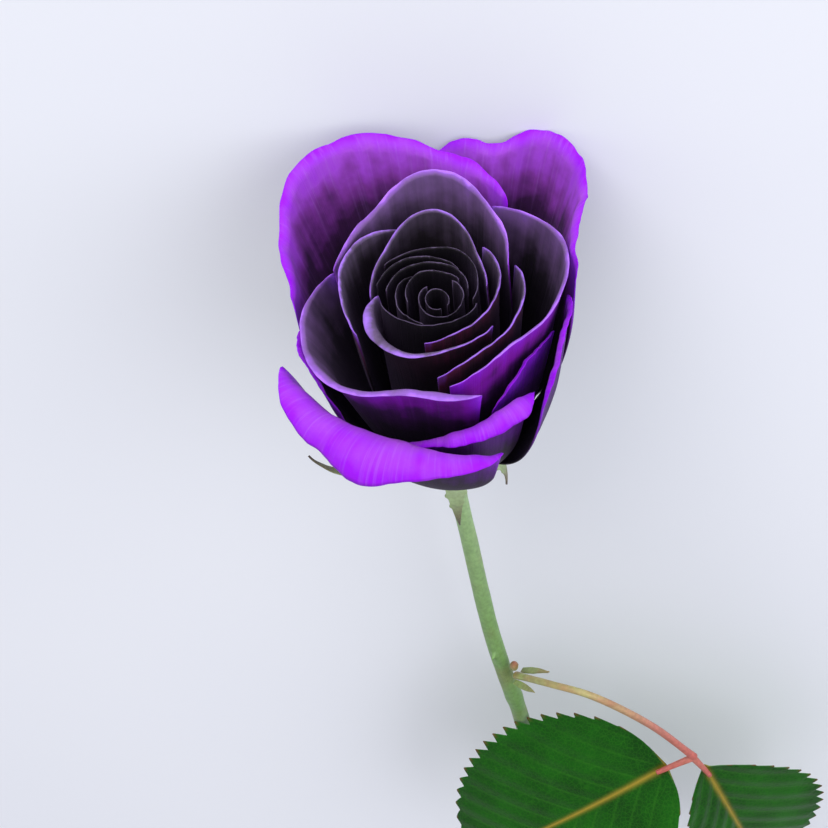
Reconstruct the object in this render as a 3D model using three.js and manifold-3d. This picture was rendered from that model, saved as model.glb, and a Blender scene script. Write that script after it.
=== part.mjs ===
// A cut rose, lying on its side: a half-open bloom of overlapping petals on a bare stem with one
// compound leaf. Millimetres, +Z up, the stem's cut end towards +Y, and the origin under the
// middle of the whole rose on the surface that it lies on.
//
// The flower is drawn upright first: z = 0 is where the petals leave the receptacle, +z is the
// bloom's axis, and an azimuth is measured around that axis from +x. One nested group then lays
// it down on the rim of a back petal and the end of its stem.

import * as THREE from 'three';
import { mergeVertices } from 'three/addons/utils/BufferGeometryUtils.js';
import Module from 'manifold-3d';

const wasm = await Module();
wasm.setup();

// ---- driving dimensions -------------------------------------------------------------------

const GAP = 0.3;                    // clear gap between neighbouring pieces
const LYING_TILT = 10.59;           // the stem drops this many degrees from the bloom to its end
const LYING_ROLL = 12.04;           // turn about the bloom's axis that brings the back rim down

const PETAL_THICKNESS = 0.5;
const HEART_THICKNESS = 0.36;       // the young petals of the heart are thinner
const CLAW_HALF_ANGLE = 11;         // degrees of the receptacle that half a petal's foot takes
const INNER_FOOT_RADIUS = 2.0;
const OUTER_FOOT_RADIUS = 9.5;
const MARGIN_START = 0.8;           // share of a petal's length below its rolled margin
const CREST_REACH = 0.34;           // how far the crest's slope carries, as a share of the chord
const WIDEST_FROM = 0.75;           // share of the way to the crest where the full span starts
const TIP_WIDTH = 0.16;             // share of half the span that a pointed tip takes

const RECEPTACLE_RADIUS = 9.7;
const HIP_RADIUS = 5.4;
const HIP_BOTTOM = -12;
const STEM_RADIUS = 2.2;
const STEM_SIDES = 10;
const SEPAL_THICKNESS = 0.6;
const LEAF_THICKNESS = 0.4;
const RACHIS_RADIUS = 1.0;

// ---- colours ------------------------------------------------------------------------------

const VIOLET = 0x7a1fc4;
const PLUM = 0x3d2248;
const HEART_BLACK = 0x1c1622;
const STEM_GREEN = 0x7f9a5c;
const LEAF_GREEN = 0x1f5a22;
const RACHIS_RED = 0x9c6a5a;
const STAMEN_YELLOW = 0xb09a55;

function finish(color, roughness) {
  return new THREE.MeshStandardMaterial({ color, roughness, metalness: 0 });
}

// ---- curves along a rim -------------------------------------------------------------------

// Catmull-Rom value through equally spaced stations, for s from -1 to 1.
function along(stations, s) {
  const values = Array.isArray(stations) ? stations : [stations, stations];
  const last = values.length - 1;
  const x = ((Math.min(Math.max(s, -1), 1) + 1) / 2) * last;
  const i = Math.min(Math.floor(x), last - 1);
  const f = x - i;
  const b = values[i];
  const c = values[i + 1];
  const a = i > 0 ? values[i - 1] : 2 * b - c;
  const d = i + 2 <= last ? values[i + 2] : 2 * c - b;
  return b + 0.5 * f * (c - a + f * (2 * a - 5 * b + 4 * c - d + f * (3 * (b - c) + d - a)));
}

function smoothstep(x) {
  return THREE.MathUtils.smoothstep(x, 0, 1);
}

// ---- thin bodies --------------------------------------------------------------------------

// A closed sheet of even thickness on each side of surface(s, t), with s from -1 to 1 across
// and t from 0 to 1 along. rowAt spaces the rows of facets along t.
function sheet(surface, thickness, across, rows, rowAt = (v) => v) {
  const box = new THREE.BoxGeometry(2, 1, 1, across, rows, 1);
  const position = box.getAttribute('position');
  const step = 1e-3;
  for (let k = 0; k < position.count; k += 1) {
    const s = position.getX(k);
    const t = rowAt(position.getY(k) + 0.5);
    const side = position.getZ(k) * thickness;
    const acrossTangent = surface(s + step, t).sub(surface(s - step, t));
    const alongTangent = surface(s, Math.min(t + step, 1)).sub(surface(s, Math.max(t - step, 0)));
    const normal = acrossTangent.cross(alongTangent).normalize();
    const point = surface(s, t).addScaledVector(normal, side);
    position.setXYZ(k, point.x, point.y, point.z);
  }
  box.computeVertexNormals();
  return box;
}

// ---- petals -------------------------------------------------------------------------------

// A petal rises from its foot on the receptacle to a crest and ends in a margin that rolls
// outwards. radius and height place the crest at equal steps of azimuth, from azimuth - span to
// azimuth + span; lean is the crest's slope from upright, roll the margin's length and curl the
// angle that it turns through. order runs from 0 at the heart to 1 at the outermost petal, and
// sets where the foot stands and how far the petal bellies out.
const PETALS = [
  { name: 'petal_heart_core', order: 0, azimuth: 120, span: 150,
    radius: [1.5, 2.2, 3.4, 2.8, 1.5], height: [48, 48.5, 49, 48.5, 48], roll: 0.3, curl: 40 },
  { name: 'petal_heart_coil', order: 0.09, azimuth: 270, span: 150,
    radius: [4.9, 4.5, 4.7, 4.6, 6], height: 49, roll: 0.4, curl: 40 },
  { name: 'petal_heart_left_inner', order: 0.17, azimuth: 112, span: 62,
    radius: [6.9, 7.6, 8.9, 8.2, 6.9], height: 49, roll: 0.4, curl: 40 },
  { name: 'petal_heart_left_outer', order: 0.24, azimuth: 176, span: 54,
    radius: [9.9, 9.9, 9.3, 8.3, 6.5], height: [48, 49, 49, 49, 48], roll: 0.4, curl: 40 },
  { name: 'petal_back_coil_inner', order: 0.29, azimuth: 92, span: 66,
    radius: [6.8, 8.8, 10.4, 11.8, 12], height: [48.5, 49, 49, 49, 49], roll: 0.5, curl: 40 },
  { name: 'petal_back_coil_middle', order: 0.38, azimuth: 107, span: 46,
    radius: [9.8, 11.2, 12.7, 13.9, 14.6], height: [48.5, 49, 49.5, 49.5, 48.5], roll: 0.5,
    curl: 40 },
  { name: 'petal_back_coil_outer', order: 0.44, azimuth: 66, span: 68,
    radius: [6.8, 9.9, 13.1, 13.9, 15.9], height: [48.5, 49.5, 50, 50, 49], roll: 0.5,
    curl: 40 },
  { name: 'petal_front_coil', order: 0.4, azimuth: 258, span: 88,
    radius: [12.9, 9.3, 7.6, 7.3, 7.9], height: [48, 49.5, 50, 50, 49], roll: 0.5, curl: 60 },
  { name: 'petal_right_heart', order: 0.52, azimuth: 330, span: 82,
    radius: [12, 10, 10.6, 13, 17.2], height: [49, 49.5, 50, 50, 49], lean: 5, roll: 0.8,
    curl: 60 },
  { name: 'petal_left_heart', order: 0.58, azimuth: 238, span: 82,
    radius: [14.2, 14.8, 15.2, 13.2, 13.4], height: [46, 47.5, 48.5, 49, 49], lean: [10, 15, 10],
    roll: [1, 3, 2, 1.2, 1], curl: [90, 120, 110, 60, 60] },
  { name: 'petal_back_inner', order: 0.6, azimuth: 88, span: 74,
    radius: [10.4, 14, 23.4, 17.8, 15.6], height: [49, 50, 51, 50, 47], roll: [0.5, 0.8, 0.8],
    curl: 60 },
  { name: 'petal_left_inner', order: 0.68, azimuth: 152, span: 44,
    radius: [22, 22.8, 22.4, 20.6, 19.2], height: [49, 51, 51, 50, 47], lean: [5, 8, 8],
    roll: [0.8, 1, 0.8], curl: 60 },
  { name: 'petal_right_inner', order: 0.7, azimuth: 324, span: 62,
    radius: [19.2, 17.2, 17, 17.5, 18.8], height: [47, 50, 50, 50, 48], lean: 5, roll: 0.8,
    curl: 60, rise: 0.24 },
  { name: 'petal_back_high', order: 0.78, azimuth: 87, span: 63,
    radius: [16.6, 23, 31, 26.6, 25], height: [50, 53, 54.5, 51, 48], lean: [0, 12, 10],
    roll: [1.5, 1.5, 1.2], curl: [80, 60, 60] },
  { name: 'petal_right_cup', order: 0.82, azimuth: 345, span: 76,
    radius: [21.6, 20.2, 23.8, 29.4, 28.4], height: [47, 50, 50, 50, 49],
    lean: [5, 12, 12, 10, 10], roll: [1, 1.2, 1], curl: 60, rise: [0.26, 0.26, 0.28, 0.3, 0.3] },
  { name: 'petal_left_cup', order: 0.86, azimuth: 214, span: 70,
    radius: [27.6, 29.2, 28.6, 23.8, 25], height: [43, 44, 45, 48, 46],
    lean: [8, 28, 25, 20, 20], roll: [1, 2, 3], curl: [40, 90, 110], rise: 0.26 },
  { name: 'petal_right_low_inner', order: 0.9, azimuth: 318, span: 27,
    radius: [22.6, 22, 21.6, 22.2, 24.2], height: [36, 41, 43, 43, 42], lean: 10,
    roll: [1, 1.2, 1], curl: 60, rise: 0.24 },
  { name: 'petal_front_flap', order: 0.93, azimuth: 277, span: 37,
    radius: [23.4, 25, 26, 25, 24.6], height: [27, 33.5, 37.5, 39, 37], lean: 20,
    roll: [1.5, 3, 5, 6.5, 3], curl: [90, 130, 140, 140, 90], rise: 0.34 },
  { name: 'petal_left_low', order: 0.94, azimuth: 184, span: 24,
    radius: [28.4, 28.6, 28.8, 27.8, 26.4], height: [30, 36, 38, 36, 29], lean: [5, 8, 8],
    roll: [1, 2, 1], curl: 60, rise: 0.31 },
  { name: 'petal_right_low', order: 0.97, azimuth: 338, span: 27,
    radius: [28, 26.6, 26.2, 26.8, 27.4], height: [33, 41, 45, 45, 43], lean: [10, 8, 5],
    roll: [2, 2, 1.5], curl: 60 },
  { name: 'petal_back_left', order: 0.98, azimuth: 111.5, span: 56.5,
    radius: [30.5, 34, 38, 44.5, 50, 48, 41, 34.8, 31.4],
    height: [49, 50, 50, 49, 48, 47, 44, 43, 43], lean: [10, 30, 30, 25, 0],
    roll: [3, 4, 4, 3.5, 2], curl: [100, 60, 60, 60, 60] },
  { name: 'petal_front_tip', order: 1, azimuth: 238, span: 50,
    radius: [35, 31.4, 29.2, 30.2, 30.6], height: [39, 38, 37.5, 36, 31.5],
    lean: [25, 30, 33, 33, 30], roll: [3, 9, 13, 8, 4], curl: [60, 120, 130, 110, 90],
    rise: 0.41, tip: 2.5 },
  { name: 'petal_back_right', order: 1, azimuth: 48, span: 41,
    radius: [29, 31, 34.5, 41.5, 47.5, 50.3, 45, 46.2, 47],
    height: [46, 49.5, 50.5, 50, 48.5, 47.5, 46.5, 46, 40], lean: [0, 20, 30, 30, 30],
    roll: [2, 4, 3], curl: 50 },
];

// The petal's middle surface. Below the crest it is a Bezier curve in the plane through the
// axis, from the foot's slope to the crest's; past the crest it is an arc as long as the roll.
function petalSurface({ order, azimuth, span, radius, height, lean = 0, roll, curl, rise, tip = 0 }) {
  const footRadius = THREE.MathUtils.lerp(INNER_FOOT_RADIUS, OUTER_FOOT_RADIUS, order);
  const footHeight = 2 * (1 - order);
  const footSlope = THREE.MathUtils.degToRad(15 + 60 * order ** 2);
  const footReach = rise ?? 0.26 + 0.1 * order;
  const footWidth = CLAW_HALF_ANGLE / span;
  return (s, t) => {
    const crestRadius = along(radius, s);
    const crestHeight = along(height, s);
    const slope = THREE.MathUtils.degToRad(along(lean, s));
    const turn = THREE.MathUtils.degToRad(along(curl, s));
    const margin = Math.max(along(roll, s), 0) + tip * Math.exp(-((s / TIP_WIDTH) ** 2));
    const chord = Math.hypot(crestRadius - footRadius, crestHeight - footHeight);
    const reach = along(footReach, s) * chord;
    const profile = new THREE.CubicBezierCurve(
      new THREE.Vector2(footRadius, footHeight),
      new THREE.Vector2(footRadius + reach * Math.sin(footSlope),
        footHeight + reach * Math.cos(footSlope)),
      new THREE.Vector2(crestRadius - CREST_REACH * chord * Math.sin(slope),
        crestHeight - CREST_REACH * chord * Math.cos(slope)),
      new THREE.Vector2(crestRadius, crestHeight),
    );
    const body = Math.min(t / MARGIN_START, 1);
    const edge = Math.max((t - MARGIN_START) / (1 - MARGIN_START), 0);
    const point = profile.getPoint(body);
    const end = slope + turn * edge;
    const r = point.x + (margin * (Math.cos(slope) - Math.cos(end))) / turn;
    const z = point.y + (margin * (Math.sin(end) - Math.sin(slope))) / turn;
    const width = footWidth + (1 - footWidth) * smoothstep(body / WIDEST_FROM);
    const phi = THREE.MathUtils.degToRad(azimuth + span * s * width);
    return new THREE.Vector3(r * Math.cos(phi), r * Math.sin(phi), z);
  };
}

// Rows of facets: five up to the crest, three round the margin.
function petalRow(v) {
  const bodyShare = 5 / 8;
  return v <= bodyShare
    ? (v / bodyShare) * MARGIN_START
    : MARGIN_START + ((v - bodyShare) / (1 - bodyShare)) * (1 - MARGIN_START);
}

function makePetal(shape) {
  const isHeart = shape.order < 0.5;
  const thickness = isHeart ? HEART_THICKNESS : PETAL_THICKNESS;
  const across = Math.max(5, Math.round(shape.span / (shape.radius.length > 5 ? 4.5 : 9)));
  const geometry = isHeart
    ? sheet(petalSurface(shape), thickness, across, 5)
    : sheet(petalSurface(shape), thickness, across, 8, petalRow);
  const color = isHeart ? HEART_BLACK : shape.order < 0.75 ? PLUM : VIOLET;
  const mesh = new THREE.Mesh(geometry, finish(color, 0.65));
  mesh.name = shape.name;
  return mesh;
}

// ---- the heart's stamens and styles -------------------------------------------------------

const STAMEN_COUNT = 5;
const STAMEN_RING = 1.15;

function makeStamen(index) {
  const profile = [[0, 0.5], [0.16, 0.5], [0.12, 5.6], [0.32, 6], [0.32, 6.8], [0, 7.2]];
  const geometry = new THREE.LatheGeometry(profile.map(([r, z]) => new THREE.Vector2(r, z)), 8);
  geometry.rotateX(Math.PI / 2);
  const mesh = new THREE.Mesh(geometry, finish(STAMEN_YELLOW, 0.8));
  const phi = (2 * Math.PI * index) / STAMEN_COUNT;
  mesh.position.set(STAMEN_RING * Math.cos(phi), STAMEN_RING * Math.sin(phi), 0);
  mesh.name = `stamen_${index + 1}`;
  return mesh;
}

function makeStyles() {
  const profile = [[0, 0.5], [0.4, 0.5], [0.3, 4.4], [0.5, 4.9], [0.4, 5.4], [0, 5.6]];
  const geometry = new THREE.LatheGeometry(profile.map(([r, z]) => new THREE.Vector2(r, z)), 10);
  geometry.rotateX(Math.PI / 2);
  const mesh = new THREE.Mesh(geometry, finish(STAMEN_YELLOW, 0.8));
  mesh.name = 'styles';
  return mesh;
}

// ---- receptacle and sepals ----------------------------------------------------------------

// The hip swells below the petals, flares into the disc that they stand on and narrows to the
// stem's width.
function makeReceptacle() {
  const profile = [
    [0, HIP_BOTTOM], [STEM_RADIUS, HIP_BOTTOM], [STEM_RADIUS + 0.7, HIP_BOTTOM + 2],
    [HIP_RADIUS - 0.8, HIP_BOTTOM + 5], [HIP_RADIUS, HIP_BOTTOM + 8],
    [RECEPTACLE_RADIUS - 2, -2.2], [RECEPTACLE_RADIUS, -1.3], [RECEPTACLE_RADIUS, -0.6],
    [0, -0.6],
  ];
  const geometry = new THREE.LatheGeometry(
    profile.map(([r, z]) => new THREE.Vector2(r, z)), 24);
  geometry.rotateX(Math.PI / 2);
  const mesh = new THREE.Mesh(geometry, finish(STEM_GREEN, 0.6));
  mesh.name = 'receptacle';
  return mesh;
}

// Sepals: a narrow pointed blade that leaves the hip under the disc and bends down. path gives
// the midline as radius and height, from the hip to the tip.
const SEPALS = [
  { name: 'sepal_front', azimuth: 266, path: [[7, -4.2], [11, -6], [10.5, -14], [7.5, -25]] },
  { name: 'sepal_right', azimuth: 342, path: [[7, -4.2], [11, -5.5], [12.5, -10], [12, -16]] },
  { name: 'sepal_back_right', azimuth: 54, path: [[7, -4.2], [14, -7], [19, -13], [22, -23]] },
  { name: 'sepal_back_left', azimuth: 122, path: [[7, -4.2], [14, -7], [20, -11], [24, -20]] },
  { name: 'sepal_left', azimuth: 190, path: [[7, -4.2], [17, -6], [29, -6], [33.5, 7]] },
];
const SEPAL_HALF_WIDTH = 3.6;

function makeSepal({ name, azimuth, path }) {
  const midline = new THREE.CubicBezierCurve(...path.map(([r, z]) => new THREE.Vector2(r, z)));
  const phi = THREE.MathUtils.degToRad(azimuth);
  const surface = (s, t) => {
    const middle = midline.getPoint(t);
    const halfWidth = SEPAL_HALF_WIDTH * (0.12 + 0.88 * (1 - t) ** 0.8 * smoothstep(0.35 + 2 * t));
    const side = halfWidth * s;
    const cup = 0.12 * halfWidth * s * s;
    const r = middle.x;
    return new THREE.Vector3(
      r * Math.cos(phi) - side * Math.sin(phi),
      r * Math.sin(phi) + side * Math.cos(phi),
      middle.y + cup,
    );
  };
  const mesh = new THREE.Mesh(sheet(surface, SEPAL_THICKNESS, 4, 8), finish(STEM_GREEN, 0.7));
  mesh.name = name;
  return mesh;
}

// ---- stem ---------------------------------------------------------------------------------

const STEM_ROUTE = [
  [0, 0, HIP_BOTTOM - GAP], [0.2, -0.6, -24], [1.6, -3, -39], [3.2, -6, -57], [5, -8.8, -74],
  [7.6, -11.6, -91], [10.4, -12.4, -108], [12.8, -10, -134], [14.6, -5, -163], [15.2, 0, -190],
];
const LEAF_NODE = new THREE.Vector3(...STEM_ROUTE[5]);

// Prickles: where along the stem, as a share of its length, and at which angle around it.
const PRICKLES = [
  { share: 0.22, angle: 200 }, { share: 0.38, angle: 20 }, { share: 0.61, angle: 150 },
  { share: 0.74, angle: 330 }, { share: 0.86, angle: 80 },
];
const PRICKLE_LENGTH = 4.2;

function curveThrough(points) {
  return new THREE.CatmullRomCurve3(points.map((p) => new THREE.Vector3(...p)));
}

function roundSection(radius, sides) {
  const shape = new THREE.Shape();
  for (let k = 0; k < sides; k += 1) {
    const a = (2 * Math.PI * k) / sides;
    const point = [radius * Math.cos(a), radius * Math.sin(a)];
    if (k === 0) {
      shape.moveTo(...point);
    } else {
      shape.lineTo(...point);
    }
  }
  shape.closePath();
  return shape;
}

function rod(points, radius, sides, steps) {
  return new THREE.ExtrudeGeometry(roundSection(radius, sides), {
    steps, bevelEnabled: false, extrudePath: curveThrough(points),
  });
}

function toManifold(geometry) {
  const bare = geometry.clone();
  bare.deleteAttribute('normal');
  bare.deleteAttribute('uv');
  const merged = mergeVertices(bare, 1e-3);
  return new wasm.Manifold(new wasm.Mesh({
    numProp: 3,
    vertProperties: new Float32Array(merged.getAttribute('position').array),
    triVerts: new Uint32Array(merged.getIndex().array),
  }));
}

function toGeometry(solid) {
  const { vertProperties, triVerts } = solid.getMesh();
  const geometry = new THREE.BufferGeometry();
  geometry.setAttribute('position', new THREE.BufferAttribute(vertProperties, 3));
  geometry.setIndex(new THREE.BufferAttribute(triVerts, 1));
  geometry.computeVertexNormals();
  return geometry;
}

function prickle(route, { share, angle }) {
  const cone = new THREE.ConeGeometry(1.3, PRICKLE_LENGTH, 6);
  cone.scale(1.7, 1, 0.7);
  cone.translate(0, STEM_RADIUS + PRICKLE_LENGTH / 2 - 1.2, 0);
  const axis = route.getTangentAt(share);
  const turn = THREE.MathUtils.degToRad(angle);
  const level = new THREE.Vector3(Math.cos(turn), Math.sin(turn), 0);
  const out = level.addScaledVector(axis, -level.dot(axis)).normalize();
  const across = new THREE.Vector3().crossVectors(axis, out);
  const place = new THREE.Matrix4().makeBasis(axis, out, across);
  place.setPosition(route.getPointAt(share));
  cone.applyMatrix4(place);
  return toManifold(cone);
}

function makeStem() {
  const route = curveThrough(STEM_ROUTE);
  let solid = toManifold(rod(STEM_ROUTE, STEM_RADIUS, STEM_SIDES, 26));
  for (const place of PRICKLES) {
    solid = solid.add(prickle(route, place));
  }
  const mesh = new THREE.Mesh(toGeometry(solid), finish(STEM_GREEN, 0.55));
  mesh.name = 'stem';
  return mesh;
}

// ---- leaf ---------------------------------------------------------------------------------

const RACHIS_ROUTE = [
  [10.4, -13.8, -88.6], [18, -24, -77], [29, -30, -76], [43, -31, -92], [54.5, -32, -110],
];

// Leaflets: base point, direction of the midrib, direction across the blade, length, the widths
// of the two halves and how blunt the base is.
const LEAFLETS = [
  { name: 'leaflet_left', base: [46.5, -33, -113], along: [-0.75, 0, -0.66],
    across: [-0.47, 0.71, 0.53], length: 74, halves: [24, 30], bluntness: 0.5 },
  { name: 'leaflet_end', base: [58, -33.5, -116], along: [0.31, -0.09, -0.95],
    across: [-0.91, -0.32, -0.24], length: 70, halves: [24, 15], bluntness: 1 },
];

function makeRachis() {
  const mesh = new THREE.Mesh(rod(RACHIS_ROUTE, RACHIS_RADIUS, 8, 14), finish(RACHIS_RED, 0.6));
  mesh.name = 'leaf_stalk';
  return mesh;
}

// An egg-shaped blade, widest below its middle, folded a little along the midrib and arched
// towards the tip.
function makeLeaflet({ name, base, along: alongAxis, across, length, halves, bluntness }) {
  const origin = new THREE.Vector3(...base);
  const axis = new THREE.Vector3(...alongAxis).normalize();
  const side = new THREE.Vector3(...across);
  side.addScaledVector(axis, -side.dot(axis)).normalize();
  const face = new THREE.Vector3().crossVectors(side, axis);
  const surface = (s, t) => {
    const outline = Math.sin(Math.PI * t ** 0.8) ** bluntness;
    const width = halves[s > 0 ? 1 : 0] * (0.03 + 0.97 * outline) * s;
    const fold = 0.16 * Math.abs(width);
    const arch = -0.06 * length * (2 * t - 0.6) ** 2;
    return origin.clone()
      .addScaledVector(axis, length * t)
      .addScaledVector(side, width)
      .addScaledVector(face, fold + arch);
  };
  const geometry = sheet(surface, LEAF_THICKNESS, 6, 9);
  const mesh = new THREE.Mesh(geometry, finish(LEAF_GREEN, 0.5));
  mesh.name = name;
  return mesh;
}

// Stipules: the two narrow wings on the foot of the leaf stalk.
function makeStipule(name, sign) {
  const foot = new THREE.Vector3(...RACHIS_ROUTE[0]);
  const axis = new THREE.Vector3(...RACHIS_ROUTE[1]).sub(foot).normalize();
  const side = new THREE.Vector3(0.7, 0.1, 0.6).multiplyScalar(sign);
  side.addScaledVector(axis, -side.dot(axis)).normalize();
  const surface = (s, t) => {
    const width = 0.25 + 1.5 * Math.sin(Math.PI * Math.min(0.25 + 0.75 * t, 0.98));
    return foot.clone()
      .addScaledVector(axis, 1 + 12 * t)
      .addScaledVector(side, RACHIS_RADIUS + GAP + width * (1 + s) / 2 + 2 * t * t);
  };
  const geometry = sheet((s, t) => surface(sign * s, t), SEPAL_THICKNESS, 2, 5);
  const mesh = new THREE.Mesh(geometry, finish(STEM_GREEN, 0.6));
  mesh.name = name;
  return mesh;
}

// The bud that waits in the angle between the leaf stalk and the stem.
function makeAxillaryBud() {
  const geometry = new THREE.SphereGeometry(1.3, 10, 6);
  geometry.scale(1, 1, 1.7);
  const mesh = new THREE.Mesh(geometry, finish(STEM_GREEN, 0.6));
  mesh.position.copy(LEAF_NODE).add(new THREE.Vector3(2.3, -2.6, 8.2));
  mesh.name = 'axillary_bud';
  return mesh;
}

// ---- the whole rose -----------------------------------------------------------------------

const flower = new THREE.Group();
flower.add(...PETALS.map(makePetal));
for (let k = 0; k < STAMEN_COUNT; k += 1) {
  flower.add(makeStamen(k));
}
flower.add(makeStyles(), makeReceptacle(), ...SEPALS.map(makeSepal), makeStem());
flower.add(makeRachis(), ...LEAFLETS.map(makeLeaflet), makeAxillaryBud());
flower.add(makeStipule('stipule_upper', 1), makeStipule('stipule_lower', -1));

const tilt = THREE.MathUtils.degToRad(LYING_TILT);
const lying = new THREE.Group();
lying.setRotationFromMatrix(new THREE.Matrix4().makeBasis(
  new THREE.Vector3(-1, 0, 0),
  new THREE.Vector3(0, -Math.sin(tilt), -Math.cos(tilt)),
  new THREE.Vector3(0, -Math.cos(tilt), Math.sin(tilt)),
));
flower.rotation.z = THREE.MathUtils.degToRad(LYING_ROLL);
lying.add(flower);

const rose = new THREE.Group();
rose.add(lying);
const box = new THREE.Box3().setFromObject(rose, true);
const middle = box.getCenter(new THREE.Vector3());
lying.position.set(-middle.x, -middle.y, -box.min.z);

export default rose;
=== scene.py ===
"""A cut rose lying on its side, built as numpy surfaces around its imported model.

The flower is worked out upright, in millimetres, with z = 0 where the petals leave the
receptacle, +z along the bloom's axis and azimuths counted around that axis from +x. One rigid
move, LyingPose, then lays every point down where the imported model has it.
"""

import logging
import math
from dataclasses import dataclass, field
from enum import Enum
from typing import Any, Optional, Sequence, Union

import bpy
import numpy as np
from mathutils import Matrix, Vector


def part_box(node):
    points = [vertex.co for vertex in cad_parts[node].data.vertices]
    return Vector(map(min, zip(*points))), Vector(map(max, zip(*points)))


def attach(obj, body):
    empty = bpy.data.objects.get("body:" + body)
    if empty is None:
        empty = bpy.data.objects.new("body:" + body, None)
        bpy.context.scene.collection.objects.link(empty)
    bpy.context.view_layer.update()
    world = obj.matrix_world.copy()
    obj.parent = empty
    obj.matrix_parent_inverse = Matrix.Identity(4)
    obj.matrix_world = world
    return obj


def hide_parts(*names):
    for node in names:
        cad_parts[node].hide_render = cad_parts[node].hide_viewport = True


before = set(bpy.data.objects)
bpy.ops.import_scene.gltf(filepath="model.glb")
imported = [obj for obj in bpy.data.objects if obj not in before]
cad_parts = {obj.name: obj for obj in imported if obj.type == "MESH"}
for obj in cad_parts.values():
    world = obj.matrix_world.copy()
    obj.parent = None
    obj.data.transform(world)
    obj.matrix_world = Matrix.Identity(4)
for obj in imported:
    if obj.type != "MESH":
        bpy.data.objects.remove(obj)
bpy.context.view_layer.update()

log = logging.getLogger("rose")

Array = np.ndarray
Stations = Union[float, Sequence[float]]

BODY = "root"
MM = 0.001


# ---- arrays of numbers along a line -------------------------------------------------------


def smooth(x: Array) -> Array:
    """Ease from 0 to 1 as x goes from 0 to 1: 3 x squared minus 2 x cubed, clamped."""
    x = np.clip(x, 0.0, 1.0)
    return x * x * (3.0 - 2.0 * x)


def along(stations: Stations, s: Array) -> Array:
    """Catmull-Rom value through equally spaced stations.

    Args:
        stations: one value, or the values at equal steps of s from -1 to 1.
        s: where to read, from -1 to 1.

    Returns:
        The interpolated values; the end slopes carry on the first and last steps.
    """
    values = np.atleast_1d(np.asarray(stations, float))
    if values.size == 1:
        values = np.repeat(values, 2)
    last = values.size - 1
    x = (np.clip(s, -1.0, 1.0) + 1.0) / 2.0 * last
    i = np.minimum(x.astype(int), last - 1)
    f = x - i
    line = np.concatenate([[2 * values[0] - values[1]], values, [2 * values[-1] - values[-2]]])
    a, b, c, d = line[i], line[i + 1], line[i + 2], line[i + 3]
    return b + 0.5 * f * (c - a + f * (2 * a - 5 * b + 4 * c - d + f * (3 * (b - c) + d - a)))


def ripple(x: Array, seed: float) -> Array:
    """An uneven wave about 0 and 1 high: four sines whose rates share no common period."""
    rates = (1.0, 1.73, 2.91, 4.37)
    return sum(np.sin(rate * x + seed * (3.1 + rate)) / (1.0 + k) for k, rate in enumerate(rates)) / 1.6


def bell(x: Array) -> Array:
    """A smooth bump, 1 at 0 and nearly 0 past 2 either way: e to the power of minus x squared."""
    return np.exp(-(x ** 2))


def bezier(corners: Sequence[Any], t: Array) -> Array:
    """Cubic Bezier value: the corners weighted (1-t)^3, 3t(1-t)^2, 3t^2(1-t) and t^3, summed."""
    weights = ((1 - t) ** 3, 3 * t * (1 - t) ** 2, 3 * t ** 2 * (1 - t), t ** 3)
    return sum(weight * corner for weight, corner in zip(weights, corners))


def turns(sides: int) -> Array:
    """Even angles round a ring, in radians, from 0."""
    return np.linspace(0, 2 * np.pi, sides, endpoint=False)


def angle_from(turn: Array, degrees: float) -> Array:
    """How far each angle lies from the given one, in radians, from minus pi to pi."""
    return np.angle(np.exp(1j * (turn - math.radians(degrees))))


def unit(v: Array) -> Array:
    """Scale the vectors on the last axis to length 1."""
    return v / (np.linalg.norm(v, axis=-1, keepdims=True) + 1e-12)


def grid(across: int, rows: int) -> tuple[Array, Array]:
    """Even parameters: s from -1 to 1 on the first axis and t from 0 to 1 on the second."""
    return np.meshgrid(np.linspace(-1, 1, across + 1), np.linspace(0, 1, rows + 1), indexing="ij")


def surface_normals(points: Array) -> Array:
    """Unit normals of a grid of points: the step across crossed with the step along."""
    return unit(np.cross(np.gradient(points, axis=0), np.gradient(points, axis=1)))


# ---- the lying pose -----------------------------------------------------------------------


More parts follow.
